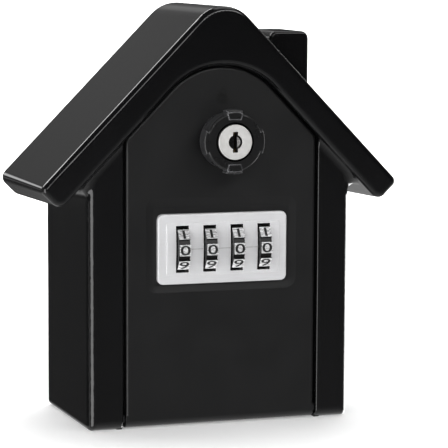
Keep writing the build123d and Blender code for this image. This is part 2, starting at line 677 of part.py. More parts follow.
# ---- knob and latch ----
def sector(inner, outer, middle, half_angle):
    """Ring sector about the origin: middle is its angle from +X, in degrees."""
    points = []
    for radius, shares in ((outer, (-1, -0.5, 0, 0.5, 1)), (inner, (1, -1))):
        for share in shares:
            angle = radians(middle + share * half_angle)
            points.append((radius * cos(angle), radius * sin(angle)))
    return plate(points)


def turn_knob():
    """Knob with four grip tabs round its front edge, on a narrower waist. The top tab is the pointer."""
    face = -KNOB_PROUD + KNOB_FACE
    flare = loft([on_face(-KNOB_BACK) * Pos(0, KNOB_Z) * Circle(KNOB_FOOT_R),
                  on_face(face) * Pos(0, KNOB_Z) * Circle(KNOB_R)])
    outline = Circle(KNOB_R - 0.1)
    for middle, half_angle in KNOB_TABS:
        outline = outline + sector(KNOB_R - 3, KNOB_TAB_R, middle, half_angle)
    knob = flare + prism(Pos(0, KNOB_Z) * outline, face, -TAB_BACK)
    knob = fillet(front_edges(knob, face), 0.8)
    for middle, half_angle in KNOB_TABS[:2]:
        rib = sector(RIB_INNER_R, KNOB_TAB_R - 0.9, middle, half_angle)
        knob = knob + prism(Pos(0, KNOB_Z) * rib, face - RIB_HIGH, face + 1.0)
    knob = knob + on_knob(KNOB_WAIST_R, -KNOB_BACK, -1.0)
    knob = knob - on_knob(COLLAR_R, -20, -KNOB_PROUD + COLLAR_DEEP)
    save("turn_knob", knob - on_knob(CYLINDER_R, -KNOB_PROUD, 1))


def cylinder_housing():
    """Metal sleeve of the key cylinder, fixed in the knob."""
    sleeve = on_knob(CYLINDER_R, -KNOB_PROUD + COLLAR_DEEP, -1.8)
    save("cylinder_housing", sleeve - on_knob(PLUG_R + RUN, -20, 1))


def shaft_section(near, far):
    """Shaft's flatted end, or the hole that fits it."""
    return on_knob(SHAFT_R, near, far) & block(-SHAFT_FLAT, SHAFT_FLAT, near, far, KNOB_Z - 8, KNOB_Z + 8)


def knob_shaft():
    """Hollow steel shaft from the knob's base through the door, with two flats for the cam."""
    shaft = on_knob(CYLINDER_R, -1.8, -1.0) + on_knob(SHAFT_R, -1.0, SHAFT_ROUND_END)
    shaft = shaft + shaft_section(SHAFT_ROUND_END, SHAFT_END)
    save("knob_shaft", shaft - on_knob(SHAFT_BORE_R, -5, 30))


def latch_cam():
    """Latch arm behind the cover. It points left when unlocked and up, behind the keeper, when locked."""
    arm = Pos(-CAM_REACH / 2, KNOB_Z) * Rectangle(CAM_REACH, CAM_W)
    lever = prism(arm + Pos(0, KNOB_Z) * Circle(CAM_EYE_R), *CAM_DEPTH)
    tip = lever.edges().filter_by(Axis.Y).sort_by(Axis.X)[:2]
    save("latch_cam", fillet(tip, 2.0) - shaft_section(*CAM_DEPTH))


def cam_washer():
    """Washer between cam and nut."""
    far = CAM_DEPTH[1] + 0.8
    save("cam_washer", on_knob(7.0, CAM_DEPTH[1], far) - shaft_section(CAM_DEPTH[1], far))


def cam_nut():
    """Hex nut on the end of the shaft."""
    near, far = CAM_DEPTH[1] + 0.8, SHAFT_END - 0.4
    nut = prism(Pos(0, KNOB_Z) * RegularPolygon(7.2, 6), near, far)
    save("cam_nut", nut - shaft_section(near, far))


def drive_eccentric():
    """Eccentric disc on the shaft that lifts the locking bar."""
    near, far = BAR_DEPTH[0] - 0.1, BAR_DEPTH[1] + 0.2
    wheel = disc(ECCENTRIC_R, near, far, -ECCENTRIC_SHIFT, KNOB_Z - ECCENTRIC_SHIFT)
    save("drive_eccentric", wheel - on_knob(SHAFT_R, near, far))


def key_plug():
    """Turning plug of the cylinder: a face, a slotted barrel and a tail inside the shaft."""
    face = -KNOB_PROUD
    plug = on_knob(PLUG_FACE_R, face, face + PLUG_FACE_THICK)
    plug = fillet(plug.edges().sort_by(Axis.Y)[:1], 0.3)
    plug = plug + on_knob(PLUG_R, face + PLUG_FACE_THICK, -2.2) + on_knob(TAIL_R, -2.2, 17.0)
    mouth = Rectangle(KEYWAY_W + 0.2, KEYWAY_TALL + 0.2) + Circle(2.6)
    plug = plug - prism(Pos(0, KNOB_Z) * mouth, -20, face + 1.4)
    plug = plug - prism(Pos(0, KNOB_Z) * Rectangle(KEYWAY_W, KEYWAY_TALL), -20, -3.6)
    for k in range(WAFER_COUNT):
        near = WAFER_FIRST + k * WAFER_STEP
        plug = plug - block(-2.0, 2.0, near, near + 0.9, KNOB_Z - 6, KNOB_Z + 6)
    save("key_plug", plug)


def plug_wafers():
    """Sprung wafers of the plug, each with its own window for the key."""
    wafers = []
    for k in range(WAFER_COUNT):
        near = WAFER_FIRST + k * WAFER_STEP
        wafer = block(-1.9, 1.9, near + 0.1, near + 0.8, KNOB_Z - 4.4, KNOB_Z + 4.4)
        cut_z = KNOB_Z + 0.4 * (k % 3) - 0.4
        wafers.append(wafer - block(-1.0, 1.0, near - 1, near + 2, cut_z - 2.9, cut_z + 2.9))
    save("plug_wafers", group(wafers))


def keyway_shutter():
    """Spring dust shutter just inside the keyway."""
    leaf = Pos(0, KNOB_Z) * Circle(2.5) - Pos(0.25, KNOB_Z) * Rectangle(1.3, 8)
    save("keyway_shutter", prism(leaf, -KNOB_PROUD + 0.7, -KNOB_PROUD + 1.3))


def locking_bar():
    """Sliding bar with four fence fingers, lifted by the eccentric."""
    play, slack = 0.15, 0.3
    left, right = FINGER_X[0] - FINGER_HALF, FINGER_X[-1] + FINGER_HALF
    bar = block(-BAR_HALF, BAR_HALF, *BAR_DEPTH, 88.0, BAR_TOP)
    bar = bar + block(left, right, *BAR_DEPTH, BAR_LOW, 89.0)
    window_z = KNOB_Z - ECCENTRIC_SHIFT
    half_x, half_z = ECCENTRIC_R + 2.3, ECCENTRIC_R + play
    bar = bar - block(-half_x, half_x, 3, 6, window_z - half_z, window_z + half_z)
    for x in FINGER_X:
        bar = bar + block(x - FINGER_HALF, x + FINGER_HALF, *BAR_DEPTH, DIAL_Z + SLEEVE_R + 0.6, BAR_LOW + 1)
    for x in GUIDE_X:
        bar = bar - block(x - 1.35, x + 1.35, 3, 6, GUIDE_Z[0] - BAR_LIFT - slack, GUIDE_Z[1] + slack)
    save("locking_bar", bar)


def bar_guides():
    """Headed posts on the skin that the locking bar slides on."""
    neck = BAR_DEPTH[1] + 0.2
    guides = []
    for x in GUIDE_X:
        post = block(x - 1.2, x + 1.2, DOOR_SKIN, neck, *GUIDE_Z)
        guides.append(post + disc(2.6, neck, neck + 1.0, x, sum(GUIDE_Z) / 2))
    save("bar_guides", group(guides))


def reset_lever():
    """Code-setting slider on the inside of the door: a thumb tab outside and a foot inside."""
    outer = block(-4.6, 4.6, COVER_BACK + 0.15, COVER_BACK + 1.5, RESET_Z - 3.4, RESET_Z + 3.4)
    outer = fillet(outer.edges().filter_by(Axis.Y), 1.0)
    tab = block(-1.0, 1.0, COVER_BACK + 1.4, COVER_BACK + 3.4, RESET_Z - 2.6, RESET_Z + 2.6)
    neck = block(-2.5, 2.5, 15.0, COVER_BACK + 0.3, RESET_Z - 1.3, RESET_Z + 1.3)
    foot = block(-3.4, 3.4, 14.4, 16.0, RESET_Z - 3.0, RESET_Z + 3.0)
    save("reset_lever", Pos(-RESET_TRAVEL / 2, 0, 0) * (outer + tab + neck + foot))


# ---- build every piece ----
for make in (
    house_shell,
    back_plate,
    back_plate_screws,
    key_compartment,
    keeper_plate,
    keeper_rivets,
    hinge_pins,
    door_seal,
    hook_rail,
    key_hooks,
    hook_rail_screws,
    door_panel,
    door_back_cover,
    cover_screws,
    dial_plate,
    dial_plate_clips,
    dial_carrier,
    dial_spindle,
    spindle_clips,
    detent_spring,
    detent_screws,
    knob_bush,
    bar_guides,
    turn_knob,
    cylinder_housing,
    knob_shaft,
    latch_cam,
    cam_washer,
    cam_nut,
    drive_eccentric,
    key_plug,
    plug_wafers,
    keyway_shutter,
    locking_bar,
    reset_lever,
):
    make()

for number, place in enumerate(DIAL_X, start=1):
    dial_wheel(number, place)
    code_sleeve(number, place)
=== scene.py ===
import json
from math import cos, pi, radians, sin

import bmesh
import bpy
from mathutils import Matrix, Vector

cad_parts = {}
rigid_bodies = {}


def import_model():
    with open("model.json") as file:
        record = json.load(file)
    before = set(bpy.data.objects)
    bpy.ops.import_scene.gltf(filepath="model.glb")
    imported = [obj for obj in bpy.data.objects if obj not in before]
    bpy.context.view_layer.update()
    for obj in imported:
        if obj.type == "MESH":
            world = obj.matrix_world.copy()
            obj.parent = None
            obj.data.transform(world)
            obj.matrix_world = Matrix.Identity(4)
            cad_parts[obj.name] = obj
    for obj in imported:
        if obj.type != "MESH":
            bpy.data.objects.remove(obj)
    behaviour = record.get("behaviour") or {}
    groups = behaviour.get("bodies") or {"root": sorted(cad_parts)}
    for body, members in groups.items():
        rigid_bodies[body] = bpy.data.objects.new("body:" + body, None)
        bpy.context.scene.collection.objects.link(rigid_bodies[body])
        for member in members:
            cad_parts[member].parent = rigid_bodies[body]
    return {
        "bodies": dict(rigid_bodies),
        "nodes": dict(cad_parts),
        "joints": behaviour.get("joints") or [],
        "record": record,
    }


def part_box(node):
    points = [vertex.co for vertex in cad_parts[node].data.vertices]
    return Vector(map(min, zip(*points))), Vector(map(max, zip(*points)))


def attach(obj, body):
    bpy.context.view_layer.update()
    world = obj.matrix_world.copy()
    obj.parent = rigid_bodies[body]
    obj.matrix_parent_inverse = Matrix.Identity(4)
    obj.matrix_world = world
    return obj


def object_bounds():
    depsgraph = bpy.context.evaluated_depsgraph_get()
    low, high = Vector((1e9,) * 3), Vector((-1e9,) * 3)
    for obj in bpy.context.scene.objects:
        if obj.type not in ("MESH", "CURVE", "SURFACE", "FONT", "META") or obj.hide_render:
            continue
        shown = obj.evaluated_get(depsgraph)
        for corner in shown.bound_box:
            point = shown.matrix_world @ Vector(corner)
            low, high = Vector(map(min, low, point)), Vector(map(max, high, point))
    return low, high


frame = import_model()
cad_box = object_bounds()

MM = 0.001
NODES = frame["nodes"]
RECORD = frame["record"]
JOINTS = {joint["name"]: joint for joint in frame["joints"]}


# ---------------------------------------------------------------- places taken from the frame
def middle(node):
    """Centre of a CAD node's box."""
    low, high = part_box(node)
    return (low + high) / 2


DIAL_NAMES = sorted(name for name in frame["bodies"] if name.startswith("dial_"))
KNOB_AXIS = Vector(JOINTS["knob_turn"]["pos_m"])
DIAL_AXIS = Vector(JOINTS["dial_1_turn"]["pos_m"])
FACETS = 10                     # pads on one number wheel
WHEEL_FLAT = (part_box("dial_wheel_1")[1].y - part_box("dial_wheel_1")[0].y) / 2    # axis to a pad
COLLAR_GAP = 0.3 * MM           # between the cylinder's housing and the knob round it
COLLAR_RADIUS = (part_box("cylinder_housing")[1].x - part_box("cylinder_housing")[0].x) / 2 + COLLAR_GAP
DOOR_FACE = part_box("door_panel")[0].y


# ---------------------------------------------------------------- material building blocks
EDGE_STARTS, EDGE_FULL = 0.985, 0.86    # cosines between a face and its rounded normal


class Paint:
    """One node material with the surface detail that its functions add. Sizes are in metres."""

    def __init__(self, name, colour, roughness, metallic=0.0, coat=0.0):
        self.material = bpy.data.materials.new(name)
        self.material.use_nodes = True
        self.tree = self.material.node_tree
        self.shader = self.tree.nodes["Principled BSDF"]
        self.shader.inputs["Base Color"].default_value = (*colour, 1.0)
        self.shader.inputs["Roughness"].default_value = roughness
        self.shader.inputs["Metallic"].default_value = metallic
        self.shader.inputs["Coat Weight"].default_value = coat
        self.shader.inputs["Coat Roughness"].default_value = 0.08
        self.shader.inputs["IOR"].default_value = 1.5
        self.place = self.node("ShaderNodeTexCoord").outputs["Object"]
        self.height = None

    def node(self, kind, **values):
        made = self.tree.nodes.new(kind)
        for key, value in values.items():
            setattr(made, key, value)
        return made

    def link(self, output, target):
        self.tree.links.new(output, target)

    def stretched(self, scale):
        """Object coordinates scaled by a vector, for grain that runs one way."""
        mapping = self.node("ShaderNodeMapping")
        mapping.inputs["Scale"].default_value = scale
        self.link(self.place, mapping.inputs["Vector"])
        return mapping.outputs["Vector"]

    def noise(self, size, detail=3.0, rough=0.55, where=None):
        """Cloudy noise whose features are about size metres across."""
        tex = self.node("ShaderNodeTexNoise")
        tex.inputs["Scale"].default_value = 1.0 / size
        tex.inputs["Detail"].default_value = detail
        tex.inputs["Roughness"].default_value = rough
        self.link(where or self.place, tex.inputs["Vector"])
        return tex.outputs["Fac"]

    def specks(self, size):
        """Distance to scattered points about size metres apart."""
        tex = self.node("ShaderNodeTexVoronoi")
        tex.inputs["Scale"].default_value = 1.0 / size
        self.link(self.place, tex.inputs["Vector"])
        return tex.outputs["Distance"]

    def span(self, value, low, high, out_low, out_high):
        """Map a value from one range to another, and hold it at the ends."""
        ranged = self.node("ShaderNodeMapRange", clamp=True)
        numbers = {"From Min": low, "From Max": high, "To Min": out_low, "To Max": out_high}
        for socket, number in numbers.items():
            ranged.inputs[socket].default_value = number
        self.link(value, ranged.inputs["Value"])
        return ranged.outputs["Result"]

    def maths(self, operation, a, b=0.0):
        """Arithmetic on one or two inputs; either may be a number."""
        calc = self.node("ShaderNodeMath", operation=operation)
        for socket, value in zip(calc.inputs, (a, b)):
            if isinstance(value, (int, float)):
                socket.default_value = value
            else:
                self.link(value, socket)
        return calc.outputs["Value"]

    def blend(self, factor, first, second):
        """Mix two colours."""
        mix = self.node("ShaderNodeMix", data_type="RGBA")
        self.link(factor, mix.inputs["Factor"])
        for socket, value in ((mix.inputs["A"], first), (mix.inputs["B"], second)):
            if isinstance(value, tuple):
                socket.default_value = (*value, 1.0)
            else:
                self.link(value, socket)
        return mix.outputs["Result"]

    def edges(self, radius):
        """1 on edges tighter than radius, 0 on open faces."""
        rounded = self.node("ShaderNodeBevel", samples=6)
        rounded.inputs["Radius"].default_value = radius
        flat = self.node("ShaderNodeNewGeometry").outputs["Normal"]
        dot = self.node("ShaderNodeVectorMath", operation="DOT_PRODUCT")
        self.link(rounded.outputs["Normal"], dot.inputs[0])
        self.link(flat, dot.inputs[1])
        return self.span(dot.outputs["Value"], EDGE_STARTS, EDGE_FULL, 0.0, 1.0)

    def parts(self, vector):
        """The three components of a vector output."""
        split = self.node("ShaderNodeSeparateXYZ")
        self.link(vector, split.inputs["Vector"])
        return split.outputs

    def between(self, value, low, high, soft):
        """1 between low and high, falling to 0 over soft outside them."""
        rise = self.span(value, low - soft, low, 0.0, 1.0)
        return self.maths("MULTIPLY", rise, self.span(value, high, high + soft, 1.0, 0.0))

    def vector(self, operation, a, b=None):
        """Vector arithmetic; the second input may be a fixed vector or another output."""
        calc = self.node("ShaderNodeVectorMath", operation=operation)
        self.link(a, calc.inputs[0])
        if isinstance(b, (tuple, Vector)):
            calc.inputs[1].default_value = b
        elif b is not None:
            self.link(b, calc.inputs[1])
        return calc.outputs

    def from_axis(self, centre, keep):
        """Vector from an axis through centre; keep is 1 for the two directions across it."""
        offset = self.vector("SUBTRACT", self.place, centre)["Vector"]
        return self.vector("MULTIPLY", offset, keep)["Vector"]

    def distance(self, vector):
        return self.vector("LENGTH", vector)["Value"]

    def facing(self):
        """The piece's own surface direction, which turns with it."""
        return self.node("ShaderNodeTexCoord").outputs["Normal"]

    def colour_from(self, output):
        self.link(output, self.shader.inputs["Base Color"])

    def roughness_from(self, output):
        self.link(output, self.shader.inputs["Roughness"])

    def metallic_from(self, output):
        self.link(output, self.shader.inputs["Metallic"])

    def raise_by(self, output, distance):
        """Add a height pattern, distance metres from lowest to highest."""
        scaled = self.maths("MULTIPLY", output, distance)
        self.height = scaled if self.height is None else self.maths("ADD", self.height, scaled)

    def done(self, soften=0.0):
        """Finish the bump chain, with edges rounded by soften metres."""
        bump = self.node("ShaderNodeBump")
        bump.inputs["Strength"].default_value = 1.0
        bump.inputs["Distance"].default_value = 1.0
        if self.height is not None:
            self.link(self.height, bump.inputs["Height"])
        if soften:
            rounded = self.node("ShaderNodeBevel", samples=6)
            rounded.inputs["Radius"].default_value = soften
            self.link(rounded.outputs["Normal"], bump.inputs["Normal"])
        self.link(bump.outputs["Normal"], self.shader.inputs["Normal"])
        return self.material


def tint(colour, factor):
    """A colour made lighter or darker."""
    return tuple(min(1.0, channel * factor) for channel in colour)


# ---------------------------------------------------------------- materials of the plastic parts
def gloss_black(name, colour, roughness):
    """Moulded gloss plastic: faint flow clouds, handling haze, slight orange peel and worn edges."""
    paint = Paint(name, colour, roughness)
    clouds = paint.noise(0.035, 4)
    base = paint.blend(paint.span(clouds, 0.35, 0.7, 0, 1), tint(colour, 0.9), tint(colour, 1.18))
    patches = paint.span(paint.noise(0.004, 5), 0.42, 0.62, 0.25, 1)
    worn = paint.maths("MULTIPLY", paint.edges(0.0007), patches)
    paint.colour_from(paint.blend(worn, base, tint(colour, 2.6)))
    haze = paint.span(paint.noise(0.012, 5, 0.65), 0.35, 0.75, roughness * 0.85, roughness * 1.3)
    paint.roughness_from(paint.maths("ADD", haze, paint.maths("MULTIPLY", worn, 0.1)))
    paint.raise_by(paint.noise(0.0016, 2), 3.0e-6)
    paint.raise_by(paint.noise(0.02, 2), 2.0e-5)
    return paint.done(soften=0.00035)


def knob_black(name, colour, centre, collar):
    """Knob plastic: soft sheen, sides paler as a painted highlight, edges paler from wear and from a painted
    rim highlight, and painted shade in a black ring round the plug.
    """
    paint = Paint(name, colour, 0.3)
    clouds = paint.noise(0.012, 4)
    base = paint.blend(paint.span(clouds, 0.35, 0.7, 0, 1), tint(colour, 0.9), tint(colour, 1.15))
    # painted highlight: the knob's sides, which face across, are painted paler
    side_highlight = paint.span(paint.maths("ABSOLUTE", paint.parts(paint.facing())["Y"]), 0.3, 0.6, 1.0, 0.0)
    base = paint.blend(side_highlight, base, tint(colour, 5.0))
    patches = paint.span(paint.noise(0.003, 5), 0.35, 0.6, 0.4, 1)
    # edges paler from wear, and brighter still as a painted rim highlight
    worn = paint.maths("MULTIPLY", paint.edges(0.0006), patches)
    base = paint.blend(worn, base, tint(colour, 28.0))
    radius = paint.distance(paint.from_axis(centre, (1.0, 0.0, 1.0)))
    # painted shade: a black ring on the knob's face round the plug
    gap_shade = paint.span(radius, collar + 0.25 * MM, collar + 0.4 * MM, 1.0, 0.0)
    paint.colour_from(paint.blend(gap_shade, base, (0.0008, 0.0008, 0.0008)))
    paint.metallic_from(gap_shade)        # painted shade: near-black metal reflects almost nothing, so the ring round the plug stays black
    rub = paint.span(paint.noise(0.005, 5, 0.6), 0.35, 0.75, 0.26, 0.38)
    paint.roughness_from(paint.maths("ADD", rub, paint.maths("MULTIPLY", gap_shade, 0.5)))
    paint.raise_by(paint.noise(0.0012, 2), 4.0e-6)
    return paint.done(soften=0.0003)


def satin_black(name, colour, roughness):
    """Moulded satin plastic: fine spark-eroded grain, slight rub marks and worn edges."""
    paint = Paint(name, colour, roughness)
    clouds = paint.noise(0.03, 4)
    base = paint.blend(paint.span(clouds, 0.35, 0.7, 0, 1), tint(colour, 0.93), tint(colour, 1.1))
    grain = paint.noise(0.00022, 3, 0.6)
    base = paint.blend(paint.span(grain, 0.3, 0.75, 0, 0.35), base, tint(colour, 1.5))
    patches = paint.span(paint.noise(0.004, 5), 0.4, 0.6, 0.2, 1)
    worn = paint.maths("MULTIPLY", paint.edges(0.0006), patches)
    paint.colour_from(paint.blend(worn, base, tint(colour, 2.2)))
    rub = paint.noise(0.015, 5, 0.6)
    paint.roughness_from(paint.span(rub, 0.3, 0.75, roughness * 0.9, roughness * 1.15))
    paint.raise_by(grain, 9.0e-6)
    return paint.done(soften=0.0003)


def rubber(name, colour):
    """Extruded rubber: matt, with a faint dusting and a pitted skin."""
    paint = Paint(name, colour, 0.72)
    dust = paint.span(paint.noise(0.006, 5), 0.45, 0.75, 0, 0.5)
    paint.colour_from(paint.blend(dust, colour, tint(colour, 2.4)))
    paint.roughness_from(paint.span(paint.noise(0.003, 4), 0.3, 0.7, 0.62, 0.85))
    paint.raise_by(paint.specks(0.0005), 2.5e-5)
    return paint.done()


# ---------------------------------------------------------------- materials of the metal parts
def satin_metal(name, colour, roughness, metallic, grain=(1.0, 1.0, 1.0)):
    """Brushed or bead-blasted metal: fine grain, tarnish clouds and brighter edges."""
    paint = Paint(name, colour, roughness, metallic=metallic)
    clouds = paint.noise(0.01, 5, 0.6)
    base = paint.blend(paint.span(clouds, 0.35, 0.7, 0, 1), tint(colour, 0.93), tint(colour, 1.05))
    lines = paint.noise(0.0003, 2, 0.5, paint.stretched(grain))
    base = paint.blend(paint.span(lines, 0.3, 0.7, 0, 0.4), base, tint(colour, 0.82))
    paint.colour_from(paint.blend(paint.edges(0.0004), base, tint(colour, 1.25)))
    streak = paint.span(lines, 0.25, 0.75, roughness * 0.85, roughness * 1.2)
    paint.roughness_from(paint.maths("ADD", streak, paint.span(clouds, 0.3, 0.75, -0.03, 0.06)))
    paint.raise_by(lines, 1.5e-6)
    return paint.done(soften=0.0002)


def zinc_plate(name, colour):
    """Zinc-plated sheet: soft spangle, a slight passivation tint and fine rolling lines."""
    paint = Paint(name, colour, 0.36, metallic=1.0)
    spangle = paint.node("ShaderNodeTexVoronoi")
    spangle.inputs["Scale"].default_value = 260.0       # cells about 4 mm across
    paint.link(paint.place, spangle.inputs["Vector"])
    cells = paint.node("ShaderNodeSeparateColor")
    paint.link(spangle.outputs["Color"], cells.inputs["Color"])
    base = paint.blend(paint.span(cells.outputs["Red"], 0, 1, 0, 0.35), colour, tint(colour, 0.78))
    warm = (colour[0] * 1.03, colour[1], colour[2] * 0.86)
    base = paint.blend(paint.span(paint.noise(0.018, 4), 0.45, 0.7, 0, 0.6), base, warm)
    paint.colour_from(paint.blend(paint.edges(0.0004), base, tint(colour, 1.3)))
    paint.roughness_from(paint.span(cells.outputs["Green"], 0, 1, 0.28, 0.44))
    rolling = paint.noise(0.0004, 2, 0.5, paint.stretched((1.0, 1.0, 0.05)))
    paint.raise_by(rolling, 1.5e-6)
    return paint.done(soften=0.0002)


def enamel(name, colour):
    """Sprayed enamel on pressed steel: orange peel, faint clouds and edge chips."""
    paint = Paint(name, colour, 0.42, coat=0.15)
    clouds = paint.noise(0.03, 4)
    base = paint.blend(paint.span(clouds, 0.35, 0.7, 0, 1), tint(colour, 0.88), tint(colour, 1.12))
    patches = paint.span(paint.noise(0.0025, 5), 0.55, 0.62, 0, 1)
    chips = paint.maths("MULTIPLY", paint.edges(0.0006), patches)
    paint.colour_from(paint.blend(chips, base, (0.42, 0.42, 0.43)))
    paint.roughness_from(paint.span(paint.noise(0.008, 5), 0.3, 0.75, 0.34, 0.5))
    paint.raise_by(paint.noise(0.0011, 2), 1.6e-5)
    return paint.done(soften=0.0003)


RING_PITCH = 0.00022            # between two rings left by the lathe


def turned_nickel(name, colour, centre, face):
    """Cylinder face: rings left by the lathe about the knob's axis, and painted shade, near black, inside the
    keyway.
    """
    paint = Paint(name, colour, 0.34, metallic=0.3)
    radius = paint.distance(paint.from_axis(centre, (1.0, 0.0, 1.0)))
    rings = paint.maths("SINE", paint.maths("MULTIPLY", radius, 2 * pi / RING_PITCH))
    clouds = paint.noise(0.003, 5)
    base = paint.blend(paint.span(clouds, 0.35, 0.7, 0, 1), tint(colour, 0.9), tint(colour, 1.06))
    base = paint.blend(paint.edges(0.0003), base, tint(colour, 1.25))
    # painted shade: surfaces more than half a millimetre behind the plug's face are painted near black
    keyway_shade = paint.span(paint.parts(paint.place)["Y"], face + 0.3 * MM, face + 0.5 * MM, 0.0, 1.0)
    paint.colour_from(paint.blend(keyway_shade, base, (0.012, 0.012, 0.013)))
    paint.roughness_from(paint.span(rings, -1, 1, 0.3, 0.4))
    paint.raise_by(rings, 0.7e-6)
    return paint.done(soften=0.00015)


SLOTS_HALF_WIDE, SLOTS_HALF_TALL = 18.4 * MM, 10.0 * MM     # box of the painted shade, which holds the plate's slots, clear of its rim
SLOTS_SOFT = 0.1 * MM


def dial_silver(name, colour, centre, front):
    """Satin sprayed plate: fine brushing, a bright rim, and painted shade, black, inside its slots."""
    paint = Paint(name, colour, 0.4, metallic=0.35)
    clouds = paint.noise(0.01, 5, 0.6)
    base = paint.blend(paint.span(clouds, 0.35, 0.7, 0, 1), tint(colour, 0.96), tint(colour, 1.03))
    lines = paint.noise(0.0003, 2, 0.5, paint.stretched((0.06, 1.0, 1.0)))
    base = paint.blend(paint.span(lines, 0.3, 0.7, 0, 0.3), base, tint(colour, 0.86))
    base = paint.blend(paint.edges(0.0004), base, tint(colour, 1.3))
    x, y, z = paint.parts(paint.place)
    # painted shade: within the slots' box, walls and surfaces behind the plate's front are painted black
    across = paint.between(x, centre.x - SLOTS_HALF_WIDE, centre.x + SLOTS_HALF_WIDE, SLOTS_SOFT)
    upright = paint.between(z, centre.z - SLOTS_HALF_TALL, centre.z + SLOTS_HALF_TALL, SLOTS_SOFT)
    inside = paint.maths("MULTIPLY", across, upright)
    wall = paint.span(paint.maths("ABSOLUTE", paint.parts(paint.facing())["Y"]), 0.35, 0.55, 1.0, 0.0)
    behind = paint.span(y, front + 0.9 * MM, front + 1.0 * MM, 0.0, 1.0)
    slot_shade = paint.maths("MULTIPLY", inside, paint.maths("MAXIMUM", wall, behind))
    paint.colour_from(paint.blend(slot_shade, base, (0.006, 0.006, 0.006)))
    streak = paint.span(lines, 0.25, 0.75, 0.34, 0.48)
    paint.roughness_from(paint.maths("ADD", streak, paint.span(clouds, 0.3, 0.75, -0.03, 0.06)))
    paint.raise_by(lines, 1.5e-6)
    return paint.done(soften=0.0002)


def wheel_chrome(name, colour, centre, pad):
    """Chromed number wheel: bright pads, with painted shade, black, on the sides and in the grooves between
    the pads.
    """
    paint = Paint(name, colour, 0.24, metallic=0.62)
    clouds = paint.noise(0.004, 5, 0.6)
    base = paint.blend(paint.span(clouds, 0.35, 0.7, 0, 1), tint(colour, 0.9), tint(colour, 1.04))
    scuffs = paint.noise(0.0005, 3, 0.6, paint.stretched((0.25, 1.0, 1.0)))
    base = paint.blend(paint.span(scuffs, 0.52, 0.78, 0, 0.3), base, tint(colour, 0.66))
    base = paint.blend(paint.edges(0.0003), base, tint(colour, 1.2))
    # painted shade: surfaces below the pads, in the grooves, are painted black
    outwards = paint.from_axis(centre, (0.0, 1.0, 1.0))
    low = paint.span(paint.distance(outwards), pad - 0.55 * MM, pad - 0.25 * MM, 1.0, 0.0)
    direction = paint.vector("NORMALIZE", outwards)["Vector"]
    straight = paint.vector("DOT_PRODUCT", direction, paint.facing())["Value"]
    # painted shade: the sides, which don't face outwards, are painted black
    flank_shade = paint.span(straight, 0.7, 0.85, 1.0, 0.0)
    paint.colour_from(paint.blend(paint.maths("MAXIMUM", low, flank_shade), base, (0.008, 0.008, 0.008)))
    paint.roughness_from(paint.span(scuffs, 0.3, 0.75, 0.2, 0.36))
    paint.raise_by(scuffs, 1.0e-6)
    return paint.done(soften=0.00015)


def shutter(name, colour, centre):
    """Sprung flaps in the keyway's mouth: painted light and shade, the right one left bright as if lit, the
    left one and a ring round them painted black as shade.
    """
    paint = Paint(name, colour, 0.28, metallic=0.7)
    x = paint.parts(paint.place)["X"]
    # painted shade: the left flap is painted black
    shade = paint.span(x, centre.x - 0.3 * MM, centre.x + 0.3 * MM, 1.0, 0.0)
    radius = paint.distance(paint.from_axis(centre, (1.0, 0.0, 1.0)))
    # painted shade: a black ring round the flaps' outer edge
    rim = paint.span(radius, 1.9 * MM, 2.1 * MM, 0.0, 1.0)
    worn = paint.blend(paint.span(paint.noise(0.0006, 4), 0.4, 0.65, 0, 1), colour, tint(colour, 0.5))
    paint.colour_from(paint.blend(paint.maths("MAXIMUM", shade, rim), worn, (0.008, 0.008, 0.008)))
    paint.roughness_from(paint.span(paint.noise(0.0008, 3), 0.3, 0.7, 0.2, 0.4))
    paint.raise_by(paint.noise(0.0005, 2), 6.0e-6)
    return paint.done(soften=0.0001)


def ink(name, colour, roughness=0.45):
    """Filled or printed marking: slightly uneven, with pinholes."""
    paint = Paint(name, colour, roughness)
    patches = paint.span(paint.noise(0.0006, 4), 0.4, 0.7, 0, 1)
    paint.colour_from(paint.blend(patches, colour, tint(colour, 1.8)))
    paint.roughness_from(paint.span(paint.noise(0.0004, 3), 0.3, 0.7, roughness * 0.8, roughness * 1.2))
    paint.raise_by(paint.noise(0.00015, 2), 4.0e-6)
    return paint.done()


